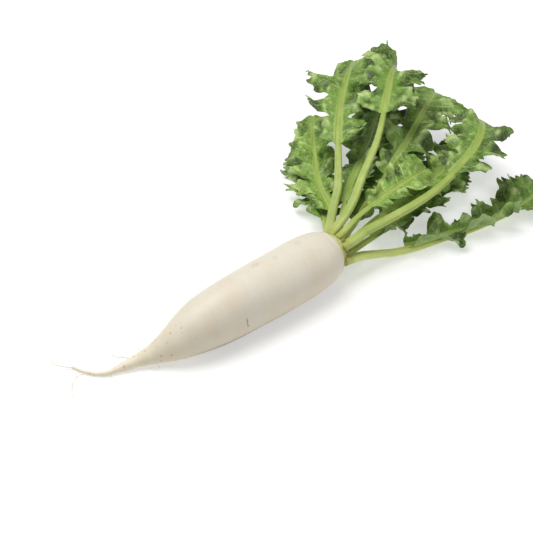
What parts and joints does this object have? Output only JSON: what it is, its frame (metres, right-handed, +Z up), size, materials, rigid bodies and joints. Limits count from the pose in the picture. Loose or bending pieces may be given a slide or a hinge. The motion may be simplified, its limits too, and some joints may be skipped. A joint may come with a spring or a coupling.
{
  "type": "daikon radish",
  "caption": "Stout white daikon radish lying on its side, with its thin tail and rootlets, its green crown and a heap of lobed leaves on pale ribbed stalks.",
  "frame": {"origin": "middle of the small flat spot under the root's belly, on the surface that the radish lies on", "axes": "+X along the root from its tail to its crown and on along the leaves; +Y to the side that most leaves lie on; +Z up"},
  "size_m": [0.6311, 0.3416, 0.122],
  "materials": {
    "root_skin": "smooth moist root skin, creamy white with faint rings and brown flecks, satin",
    "crown_skin": "yellow-green, ringed with the dry scars of old leaf bases, satin",
    "stalk_skin": "pale yellow-green, finely ribbed along its length, waxy satin",
    "leaf_blade": "mid green, paler along the veins and underneath, slightly rough, matte to satin"
  },
  "bodies": {
    "root": {"root": "root_skin", "crown": "crown_skin", "leaf_1_stalk": "stalk_skin", "leaf_1_blade": "leaf_blade", "leaf_2_stalk": "stalk_skin", "leaf_2_blade": "leaf_blade", "leaf_3_stalk": "stalk_skin", "leaf_3_blade": "leaf_blade", "leaf_4_stalk": "stalk_skin", "leaf_4_blade": "leaf_blade", "leaf_5_stalk": "stalk_skin", "leaf_5_blade": "leaf_blade", "leaf_6_stalk": "stalk_skin", "leaf_6_blade": "leaf_blade", "leaf_7_stalk": "stalk_skin", "leaf_7_blade": "leaf_blade", "leaf_8_stalk": "stalk_skin", "leaf_8_blade": "leaf_blade", "leaf_9_stalk": "stalk_skin", "leaf_9_blade": "leaf_blade", "leaf_10_stalk": "stalk_skin", "leaf_10_blade": "leaf_blade", "leaf_11_stalk": "stalk_skin", "leaf_11_blade": "leaf_blade", "leaf_12_stalk": "stalk_skin", "leaf_12_blade": "leaf_blade"}
  },
  "joints": []
}
